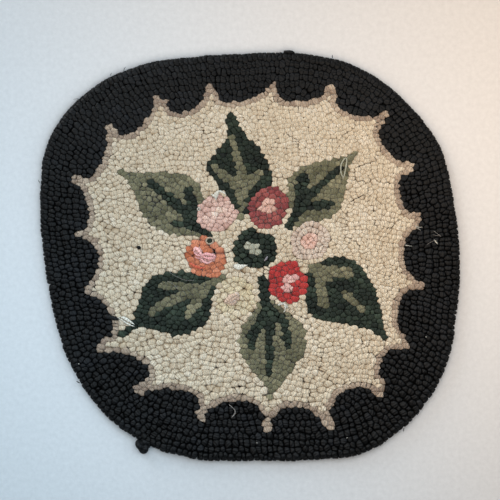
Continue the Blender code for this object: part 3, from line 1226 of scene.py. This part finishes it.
# (inset from the outline in mm, height in mm), from the top side out over the fold and back along the hem
CLOTH_SECTION = (
    (120.0, 1.90),
    (60.0, 1.90),
    (8.0, 1.90),
    (5.6, 1.75),
    (FOLD_INSET, 1.25),
    (5.2, 0.60),
    (6.2, 0.35),
    (14.0, 0.32),
    (HEM_EDGE, 0.32),
    (HEM_EDGE, 0.92),
    (14.0, 0.95),
    (7.5, 0.97),
    (6.6, 1.10),
    (7.0, 1.30),
    (60.0, 1.30),
    (120.0, 1.30),
)
SHADED_ROWS = 4

# %% The cloth, carried round the outline
CLOTH_SIDES = 240
HEM_WAVER = 0.8

cloth_bearing = np.arange(CLOTH_SIDES) * 360.0 / CLOTH_SIDES
cloth_turn = np.radians(cloth_bearing)
cloth_edge = rim_at(cloth_bearing)
hem_waver = HEM_WAVER * (np.sin(9 * cloth_turn) + np.sin(23 * cloth_turn + 1.0))
cloth_points = [np.array([[0.0, 0.0, CLOTH_SECTION[0][1]]])]
for inset, height in CLOTH_SECTION:
    reach = cloth_edge - inset + (hem_waver if inset == HEM_EDGE else 0.0)
    ring = [reach * np.cos(cloth_turn), reach * np.sin(cloth_turn), np.full(CLOTH_SIDES, height)]
    cloth_points.append(np.stack(ring, axis=-1))
cloth_points.append(np.array([[0.0, 0.0, CLOTH_SECTION[-1][1]]]))
cloth_points = np.vstack(cloth_points)
cloth_faces = list(ring_faces(len(CLOTH_SECTION), CLOTH_SIDES))
foundation_mesh, corners = cloth_mesh("foundation", cloth_points * MM, cloth_faces)
# The rows of the top side under the pile take the painted shade
linty = np.arange(len(cloth_points)) < 1 + SHADED_ROWS * CLOTH_SIDES
mark(foundation_mesh, corners, cloth_points[:, :2], linty=linty)
# The last colour is the painted shade under the pile
weave = hessian("natural_hessian", "#6f5a3c", "#c4a97c", "#1d1a17")
foundation = new_piece(foundation_mesh, weave)
print("the foundation has", len(cloth_points), "points")

# %% [markdown]
# ## Loose strands
#
# A used pad is not tidy. Pale ends have worked their way up between the loops, a few loops are pulled
# open, bits of lint lie about, and at the rim one strip ends in a knot. All of these are the same thing to
# model, a soft strand that follows a route: rings of points across the route, wider here and thinner
# there.

# %% A strand along a route
STRAND_SIDES = 8
STRAND_STEPS = 22
STRAND_RING = 0.7
STRAND_TINTS = (0.3, 0.8)


def smooth_route(route, steps):
    """Evenly numbered points on a smooth curve through a route's own points."""
    route = np.array(route, dtype=float)
    padded = np.vstack([2 * route[0] - route[1], route, 2 * route[-1] - route[-2]])
    place = np.linspace(0, len(route) - 1, steps)
    first = np.minimum(place.astype(int), len(route) - 2)
    t = (place - first)[:, None]
    a, b, c, d = (padded[first + step] for step in range(4))
    return b + 0.5 * t * (c - a + t * (2 * a - 5 * b + 4 * c - d + t * (3 * b - a - 3 * c + d)))


def strand(route, widths, thickness, steps=STRAND_STEPS):
    """Points of a strand in mm: its start, its rings and its end. Where it is narrow, it is round."""
    middle = smooth_route(route, steps)
    width = np.interp(np.linspace(0, 1, steps), np.linspace(0, 1, len(widths)), widths)[:, None, None]
    ahead = np.gradient(middle, axis=0)
    ahead /= np.linalg.norm(ahead, axis=1, keepdims=True)
    aside = np.cross(ahead, (0.0, 0.0, 1.0))
    aside /= np.maximum(np.linalg.norm(aside, axis=1, keepdims=True), 0.1)
    over = np.cross(aside, ahead)
    turn = 2 * math.pi * np.arange(STRAND_SIDES) / STRAND_SIDES
    rings = middle[:, None] + 0.5 * width * np.cos(turn)[None, :, None] * aside[:, None]
    rings = rings + 0.5 * np.minimum(width, thickness) * np.sin(turn)[None, :, None] * over[:, None]
    return np.vstack([middle[:1], rings.reshape(-1, 3), middle[-1:]])


def strands_piece(name, material, parts, steps=STRAND_STEPS):
    """Joins strands, given as points in metres, into one piece. Each ring is a step of the strip map."""
    tris, quads = ring_faces(steps, STRAND_SIDES)
    points = steps * STRAND_SIDES + 2
    faces = [many(tris, len(parts), points, 0), many(quads, len(parts), points, 0)]
    mesh, corners = cloth_mesh(name, np.vstack(parts), faces)
    along = np.concatenate([[0], np.repeat(np.arange(steps), STRAND_SIDES), [steps]])
    across = np.concatenate([[0], np.tile(np.arange(STRAND_SIDES), steps), [0]])
    strip = np.tile(np.stack([along, across], axis=-1) * STRAND_RING, (len(parts), 1))
    tint = np.repeat(chance.uniform(*STRAND_TINTS, len(parts)), points)
    mark(mesh, corners, strip, dye=tint, deep=np.zeros(len(parts) * points))
    new_piece(mesh, material)
    print(name, "of", len(parts))


# %% Stitches along the hem
HEM_STITCH_PITCH = 9.0
HEM_STITCH_THREAD = 0.7
HEM_STITCH_STEPS = 8
UNEVEN_STITCHES = (0.85, 1.15)
# (inset from the outline in mm, mm along the hem, height in mm)
HEM_STITCH_ROUTE = (
    (23.6, -1.6, 0.90),
    (24.2, -1.2, 0.42),
    (27.4, 0.6, 0.42),
    (29.4, 1.5, 0.90),
    (29.8, 1.8, 1.40),
)
hem_stitches = []
bearing = 0.0
while bearing < 360.0:
    edge = float(rim_at(bearing))
    ahead, aside, up = outward(bearing), outward(bearing + 90.0), Vector((0, 0, 1))
    route = [ahead * (edge - inset) + aside * along + up * z for inset, along, z in HEM_STITCH_ROUTE]
    hem_stitches.append(strand(route, (HEM_STITCH_THREAD,), HEM_STITCH_THREAD, HEM_STITCH_STEPS) * MM)
    bearing += math.degrees(HEM_STITCH_PITCH * chance.uniform(*UNEVEN_STITCHES) / (edge - HEM_EDGE))
strands_piece("hem_stitches", JERSEY["cream"], hem_stitches, HEM_STITCH_STEPS)

# %% [markdown]
# The knot at the lower left is an overhand knot, pulled tight and pressed flat. Its middle line is a
# trefoil, the curve that an overhand knot makes when its two ends are joined.

# %% The knot in the last strip
KNOT_REACH = 190.5
KNOT_SIZE = 1.62
KNOT_HEIGHT = 4.6
KNOT_RISE = 1.6
KNOT_STRIP = 5.4
KNOT_FLATNESS = 0.8
KNOT_STEPS = 90

turn = np.linspace(0.0, 2 * math.pi, KNOT_STEPS)
knot_middle = outward(KNOT_BEARING) * KNOT_REACH
knot_x = knot_middle.x + KNOT_SIZE * (np.sin(turn) + 2 * np.sin(2 * turn))
knot_y = knot_middle.y + KNOT_SIZE * (np.cos(turn) - 2 * np.cos(2 * turn))
knot_z = KNOT_HEIGHT - KNOT_RISE * np.sin(3 * turn)
knot_route = np.stack([knot_x, knot_y, knot_z], axis=-1)
knot = strand(knot_route, (KNOT_STRIP,), KNOT_FLATNESS * KNOT_STRIP, KNOT_STEPS)
strands_piece("strip_knot", JERSEY["black"], [knot * MM], KNOT_STEPS)
print("the knot is", [round(v, 1) for v in np.ptp(knot, axis=0)], "mm across")

# %% [markdown]
# The other strands are listed with their route over the pile, in mm to the right of the pad's middle,
# towards the top, and above the loops' crowns. They follow the used pad: a frayed white end at the upper
# edge of the dusty pink flower, another by the lower left leaf's tip, pale flaps at two flowers, and lint on
# the border and the ground.

# %% Routes over the pile
def ring_route(x, y, half_length, half_width, slant, height=0.7):
    """The route of a loop pulled open: an oval that closes on itself."""
    around = np.linspace(0, 2 * math.pi, 13)
    tilt = math.radians(slant)
    u, v = half_length * np.cos(around), half_width * np.sin(around)
    route_x = x + u * math.cos(tilt) - v * math.sin(tilt)
    route_y = y + u * math.sin(tilt) + v * math.cos(tilt)
    return np.stack([route_x, route_y, np.full(len(around), height)], axis=-1)


def over_the_pile(parts):
    """Strands' points in metres, from routes over the pile in mm."""
    return [on_the_pad(x, y, -z) for x, y, z in (strand(*part).T for part in parts)]


# %% White ends, and specks of lint
# Each strand is (route, widths along it in mm, thickness in mm)
WHITE_ENDS = (
    (((-33.3, 53.6, 0.6), (-31.0, 54.2, 1.1), (-29.4, 55.8, 1.3), (-27.4, 57.4, 1.4), (-24.4, 56.8, 1.3),
      (-21.2, 54.8, 0.8)), (1.0, 2.4, 2.4, 2.0, 1.8, 0.8), 1.1),
    (((-27.8, 57.2, 1.2), (-29.0, 54.4, 1.4), (-29.8, 52.0, 1.3), (-29.9, 49.8, 0.6)),
     (1.6, 2.6, 2.4, 0.9), 1.1),
    (((-33.8, 55.0, 0.8), (-31.9, 53.2, 1.0), (-30.6, 51.9, 1.0)), (1.0, 1.6, 0.9), 0.8),
    (((-113.4, -52.6, 0.6), (-110.6, -53.2, 1.2), (-107.4, -55.0, 1.3), (-104.2, -57.0, 1.1),
      (-101.2, -59.2, 0.5)), (0.6, 2.6, 2.8, 1.8, 0.6), 1.0),
    (((-116.2, -52.8, 0.4), (-112.4, -55.0, 0.9), (-108.6, -57.6, 1.0), (-104.9, -59.6, 0.9),
      (-101.4, -60.7, 0.5)), (0.5, 0.9, 1.3, 1.4, 0.6), 0.8),
    (((-14.2, -7.9, 0.5), (-12.2, -8.2, 1.0), (-9.6, -8.7, 1.2), (-6.2, -8.1, 1.0), (-2.4, -7.1, 0.5)),
     (2.6, 4.8, 5.4, 3.0, 0.6), 1.2),
    (((24.6, -42.2, 0.7), (27.6, -41.0, 1.1), (31.0, -40.7, 0.8)), (1.4, 2.4, 1.4), 1.0),
    (((30.2, -41.0, 1.0), (31.0, -45.0, 1.2), (29.6, -48.6, 0.6)), (1.6, 1.5, 0.6), 0.8),
    (((31.4, -41.6, 1.0), (32.6, -43.6, 1.1), (33.2, -45.6, 0.6)), (1.2, 1.2, 0.5), 0.8),
    (ring_route(-44.9, 41.9, 1.3, 1.1, 20), (0.8,), 0.8),
    (((161.2, 15.0, 0.6), (162.6, 13.4, 0.9), (164.2, 11.5, 0.7)), (0.4, 1.1, 1.4, 0.8), 0.8),
    (((144.4, 27.4, 0.6), (148.0, 26.0, 0.9), (151.2, 26.2, 0.5)), (0.6, 0.5, 0.3), 0.5),
    (((145.6, 25.8, 0.6), (147.6, 24.6, 0.8), (149.4, 23.2, 0.4)), (0.6, 0.5, 0.3), 0.5),
    (((136.0, 10.4, 0.6), (139.0, 9.8, 0.8), (141.8, 9.4, 0.4)), (0.7, 0.5, 0.3), 0.5),
)
SPECKS = ((154.2, -70.1), (6.1, -163.0), (85.0, -158.6), (-106.0, -157.7), (-149.8, -93.8), (4.9, -128.7))
specks = tuple(
    (((x - 0.6, y, 0.3), (x, y + 0.2, 0.7), (x + 0.6, y - 0.1, 0.3)), (0.3, 1.1, 0.3), 0.8)
    for x, y in SPECKS
)
strands_piece("white_ends", JERSEY["bleached"], over_the_pile(WHITE_ENDS + specks))

# %% Grey lint
GREY_LINT = (
    (((-18.3, -129.3, 0.3), (-15.6, -131.6, 0.9), (-13.3, -134.0, 1.0), (-13.3, -137.2, 1.0),
      (-16.0, -140.4, 0.5)), (0.4, 0.6, 0.7, 1.0, 0.7), 0.6),
    (((155.3, 11.2, 0.8), (158.6, 13.0, 1.0), (161.0, 14.2, 0.8)), (0.35,), 0.35),
    (((-71.1, -12.9, 0.5), (-65.6, -16.6, 1.0), (-57.5, -20.0, 1.0), (-49.3, -20.6, 0.5)), (0.3,), 0.3),
    (((-72.4, -21.3, 0.5), (-67.6, -23.6, 0.9), (-62.9, -28.1, 0.5)), (0.28,), 0.3),
    (((161.2, 22.6, 0.8), (164.4, 20.0, 1.1), (167.2, 17.8, 0.8)), (0.4,), 0.4),
    (((160.6, 19.4, 0.8), (163.6, 18.6, 1.0), (166.6, 19.4, 0.8)), (0.35,), 0.35),
)
strands_piece("grey_lint", JERSEY["grey"], over_the_pile(GREY_LINT))

# %% Two open loops, and the ends of sage strips
TAN_LOOPS = ((ring_route(*OPEN_LOOP, 3.1, 2.7, 15, 0.9), (1.4,), 1.0),)
SAGE_LOOPS = (
    (((81.8, 68.6, 0.5), (79.8, 73.5, 1.1), (79.6, 80.0, 1.3), (82.2, 85.4, 1.2), (84.6, 86.2, 1.0),
      (84.2, 80.5, 1.2), (83.2, 74.5, 1.0), (81.8, 68.9, 0.5)), (0.9, 1.2, 1.3, 1.2, 1.0), 1.1),
)
SAGE_ENDS = (
    (((83.6, 85.0, 0.4), (87.2, 86.6, 0.8), (90.4, 88.4, 0.8), (92.8, 91.6, 0.3)),
     (2.2, 4.2, 3.2, 0.6), 1.6),
    (((-2.4, -55.2, 0.5), (0.6, -53.4, 1.2), (3.4, -51.0, 0.6)), (0.8, 3.8, 0.8), 1.3),
    (((0.4, -57.2, 0.5), (2.6, -55.4, 1.1), (4.0, -52.6, 0.6)), (0.5, 1.1, 0.5), 0.9),
)
strands_piece("open_tan_loop", JERSEY["tan"], over_the_pile(TAN_LOOPS))
strands_piece("open_sage_loops", JERSEY["pale_sage"], over_the_pile(SAGE_LOOPS))
strands_piece("sage_ends", JERSEY["sage"], over_the_pile(SAGE_ENDS))

# %% [markdown]
# Black is hard to see on black, so only a few ends of the border's strips show: a flat one that reaches in
# to the white end at the left, and bits that stand out of the rim against the pale floor. A black blob in
# the ground is painted shade, where a small hole parts the loops. A thin bit has one end free. A wide one is
# a loop that bulges, with both its ends in the rim.

# %% Black ends, the painted shade of a hole, and the frayed rim
BLACK_ENDS_AND_HOLE_SHADE = (
    (((-127.0, -52.4, 0.1), (-122.0, -53.0, 0.6), (-117.8, -54.0, 0.8), (-114.6, -55.4, 0.3)),
     (3.6, 4.2, 3.2, 1.0), 1.6),
    # A black blob that paints the shade of a small hole between the cream loops
    (((-99.0, 8.9, 0.4), (-97.4, 8.2, 1.3), (-95.8, 7.5, 0.4)), (1.6, 3.6, 1.6), 1.8),
)
# (bearing, spread along the rim in mm, how far it stands out in mm, width in mm)
FRAYED = (
    (79.2, 4.6, 0.7, 4.2),
    (67.7, -0.6, 3.0, 0.7),
    (123.7, 1.6, 2.8, 0.45),
    (127.3, 1.2, 2.4, 0.4),
    (137.8, -1.8, 2.6, 0.45),
    (160.3, 1.0, 2.6, 0.6),
    (216.0, 1.4, 1.8, 0.9),
    (311.6, 1.2, 2.2, 0.7),
)
RIM_LINE = 8.0
IN_THE_RIM = 0.1
WIDE = 2.0
THICK_AT_MOST = 2.6


def frayed(bearing, along, out, width):
    """A bit of border strip that stands out of the rim."""
    heights = (IN_THE_RIM, out, IN_THE_RIM) if width > WIDE else (IN_THE_RIM, 0.6 * out, out)
    reach = rim_at(bearing) - CORE_INSET + RIM_LINE
    route = []
    for step, height in zip((-1, 0, 1), heights):
        way = outward(bearing - math.degrees(step * along / reach))
        route.append((way.x * reach, way.y * reach, height))
    return route, (0.7 * width, width, 0.3 * width), min(width, THICK_AT_MOST)


frayed_ends = tuple(frayed(*row) for row in FRAYED)
strands_piece("black_ends_and_hole_shade", JERSEY["black"], over_the_pile(BLACK_ENDS_AND_HOLE_SHADE + frayed_ends))

# %% [markdown]
# Flat, twisted strips lie like a bow over the hearts of the orange and the pale yellow flower, and one
# lies beside the middle flower's. They are wider than they are thick, and come from dyes that no loop has.

# %% Flat strips over the hearts
PINK_STRIPS = (
    (((-49.4, 4.6, 0.2), (-48.0, 7.8, 0.9), (-45.6, 6.4, 1.2), (-43.0, 3.0, 1.1), (-41.2, 1.2, 0.7)),
     (1.2, 2.4, 2.8, 2.2, 1.4), 1.1),
    (((-49.0, 3.8, 0.2), (-46.2, 1.8, 1.0), (-43.4, 1.2, 1.0), (-40.8, 1.4, 0.8)),
     (1.0, 2.2, 1.8, 1.2), 1.0),
    (((-41.6, 1.6, 0.6), (-38.4, 2.6, 1.3), (-34.0, 1.8, 1.3), (-29.8, 0.4, 0.5)),
     (1.4, 2.8, 2.6, 1.2), 1.2),
    (((-41.0, 0.2, 0.6), (-37.2, -1.2, 1.3), (-33.4, -1.2, 1.2), (-30.6, -0.6, 0.4)),
     (1.2, 2.4, 2.6, 1.4), 1.2),
    (((-42.6, -1.8, 0.3), (-40.0, -4.4, 1.0), (-36.6, -5.2, 1.0), (-33.6, -3.6, 0.4)),
     (1.2, 2.0, 1.8, 1.0), 1.0),
    (((-48.0, 0.0, 0.2), (-45.0, -1.2, 0.7), (-42.0, -1.0, 0.4)), (0.8, 1.6, 0.8), 0.8),
)
RUST_STRIPS = (
    (((-52.6, -5.2, 0.2), (-48.4, -8.0, 0.9), (-43.4, -9.6, 0.9), (-38.8, -9.0, 0.3)),
     (1.2, 2.6, 2.2, 1.0), 1.1),
)
FLAT_STRIPS = (
    (((-22.4, -40.4, 0.2), (-19.4, -37.0, 1.0), (-15.4, -33.8, 1.2), (-10.6, -32.4, 0.4)),
     (1.2, 3.6, 3.4, 1.2), 1.2),
    (((-20.8, -41.0, 0.2), (-16.8, -38.2, 0.9), (-12.6, -35.4, 1.0), (-9.6, -33.6, 0.3)),
     (1.0, 2.4, 2.6, 1.0), 1.0),
    (((-18.4, -41.2, 0.2), (-15.0, -41.0, 1.0), (-11.8, -39.0, 0.4)), (1.6, 3.4, 1.8), 1.4),
)
LILAC_STRIPS = ((((12.6, -3.4, 0.2), (14.0, -1.8, 0.9), (15.4, 0.4, 0.3)), (0.9, 2.0, 1.0), 1.0),)
strands_piece("pink_strips", JERSEY["rose"], over_the_pile(PINK_STRIPS))
strands_piece("rust_strips", JERSEY["rust"], over_the_pile(RUST_STRIPS))
strands_piece("lilac_strips", JERSEY["lilac"], over_the_pile(LILAC_STRIPS))
strands_piece("flat_strips", JERSEY["faded_pink"], over_the_pile(FLAT_STRIPS))

# %% [markdown]
# ## Floor, light and camera
#
# The pad lies on a pale, faintly grained surface and is seen from straight above. The surface turns from a
# cool white at the lower left to a warm one at the upper right, as it does between a window and a lamp. A
# cool lamp on one side and a warm one on the other would do that too, but they would also give every loop
# a blue side and an orange side. So each lamp here has a graded gel in front of it: the colour of a ray
# depends on where it will meet the floor, and all sides of a loop get the same hue. A big low lamp past
# the pattern's top left draws the seams between the loops, and two smaller ones close overhead soften
# them.

# %% A plain pale floor
# Half its width is in metres, and its grain in mm
FLOOR_HALF = 4.0
FLOOR_GRAIN = 4.0

floor_corners = [(x * FLOOR_HALF, y * FLOOR_HALF, 0) for x, y in ((-1, -1), (1, -1), (1, 1), (-1, 1))]
floor_mesh = bpy.data.meshes.new("floor")
floor_mesh.from_pydata(floor_corners, [], [(0, 1, 2, 3)])
floor = bpy.data.objects.new("floor", floor_mesh)
floor.location.z = -0.1 * MM
bpy.context.scene.collection.objects.link(floor)
floor_paint, tree = empty_material("pale_floor")
place = add(tree, "TexCoord").outputs["Object"]
grain = {"Vector": place, "Scale": 1 / (FLOOR_GRAIN * MM), "Detail": 4.0, "Roughness": 0.6}
grain = add(tree, "TexNoise", grain).outputs[0]
tone = add(tree, "ValToRGB", {"Fac": grain})
tone.color_ramp.elements[0].color = linear("#c5c6c9")
tone.color_ramp.elements[1].color = linear("#dcdde0")
bump = add(tree, "Bump", {"Height": grain, "Strength": 0.5, "Distance": 0.2 * MM})
finish = {"Base Color": tone.outputs["Color"], "Roughness": 0.8, "Normal": bump.outputs["Normal"]}
shader = add(tree, "BsdfPrincipled", finish)
add(tree, "OutputMaterial", {"Surface": shader.outputs["BSDF"]})
floor_mesh.materials.append(floor_paint)
print("the floor is", 2 * FLOOR_HALF, "m wide")

# %% A soft light with a graded gel
# The gel's places are metres along its bearing on the floor, and it is plain from its reach outwards
GEL_BEARING = math.radians(28)
GEL_REACH = 0.9
GEL_FROM = -0.27
GEL_TO = 0.33
PLAIN = "#ecebe6"
COOL = "#ccebff"
WARM = "#ffe0c0"


def soft_light(name, place, radius, power):
    """A round soft light, with its place and radius in metres and its power in watts."""
    lamp_data = bpy.data.lights.new(name, "POINT")
    lamp_data.shadow_soft_size = radius
    lamp_data.energy = power
    lamp_data.use_nodes = True
    tree = lamp_data.node_tree
    tree.nodes.clear()
    along_gel = Vector((math.cos(GEL_BEARING), math.sin(GEL_BEARING), 0))
    # In a lamp's nodes the normal is the way that the ray goes
    ray = add(tree, "NewGeometry").outputs["Normal"]
    way = add(tree, "SeparateXYZ", {"Vector": ray})
    sideways = add(tree, "VectorMath", {0: ray, 1: along_gel}, operation="DOT_PRODUCT").outputs["Value"]
    slope = add(tree, "Math", {0: sideways, 1: way.outputs["Z"]}, operation="DIVIDE").outputs[0]
    from_lamp = {0: slope, 1: -place[2], 2: along_gel.dot(Vector(place))}
    landing = add(tree, "Math", from_lamp, operation="MULTIPLY_ADD").outputs[0]
    share = add(tree, "MapRange", {"Value": landing, "From Min": -GEL_REACH, "From Max": GEL_REACH})
    gel = add(tree, "ValToRGB", {"Fac": share.outputs["Result"]})
    gel.color_ramp.interpolation = "EASE"
    stops = gel.color_ramp.elements
    stops[0].color = linear(PLAIN)
    stops[1].color = linear(PLAIN)
    for meets_floor, tint in ((GEL_FROM, COOL), (GEL_TO, WARM)):
        stops.new(0.5 + 0.5 * meets_floor / GEL_REACH).color = linear(tint)
    glow = add(tree, "Emission", {"Color": gel.outputs["Color"]})
    add(tree, "OutputLight", {"Surface": glow.outputs["Emission"]})
    lamp = bpy.data.objects.new(name, lamp_data)
    lamp.location = place
    bpy.context.scene.collection.objects.link(lamp)
    print(name, power, "W")


# %% Three lamps, and the light of a pale room
ROOM_LIGHT = 0.08

soft_light("key_light", (-1.31, 1.65, 0.55), 0.68, 180.0)
soft_light("left_fill", (-0.14, -0.03, 0.46), 0.34, 9.6)
soft_light("right_fill", (0.28, 0.08, 0.41), 0.34, 9.9)

world = bpy.data.worlds.new("pale_room")
world.use_nodes = True
room = world.node_tree.nodes["Background"]
room.inputs["Color"].default_value = linear("#e8f5ee")
room.inputs["Strength"].default_value = ROOM_LIGHT
bpy.context.scene.world = world

# %% The camera
PICTURE_WIDTH = 438.1
PICTURE_MIDDLE_Y = 6.1
CAMERA_HEIGHT = 1100.0
PILE_HEIGHT = 9.0

camera_data = bpy.data.cameras.new("camera")
camera_data.sensor_width = 36.0
camera_data.lens = camera_data.sensor_width * (CAMERA_HEIGHT - PILE_HEIGHT) / PICTURE_WIDTH
camera = bpy.data.objects.new("camera", camera_data)
camera.location = (0.0, PICTURE_MIDDLE_Y * MM, CAMERA_HEIGHT * MM)
bpy.context.scene.collection.objects.link(camera)
bpy.context.scene.camera = camera
bpy.context.scene.view_settings.view_transform = "Standard"
print("the lens is", round(camera_data.lens, 1), "mm")
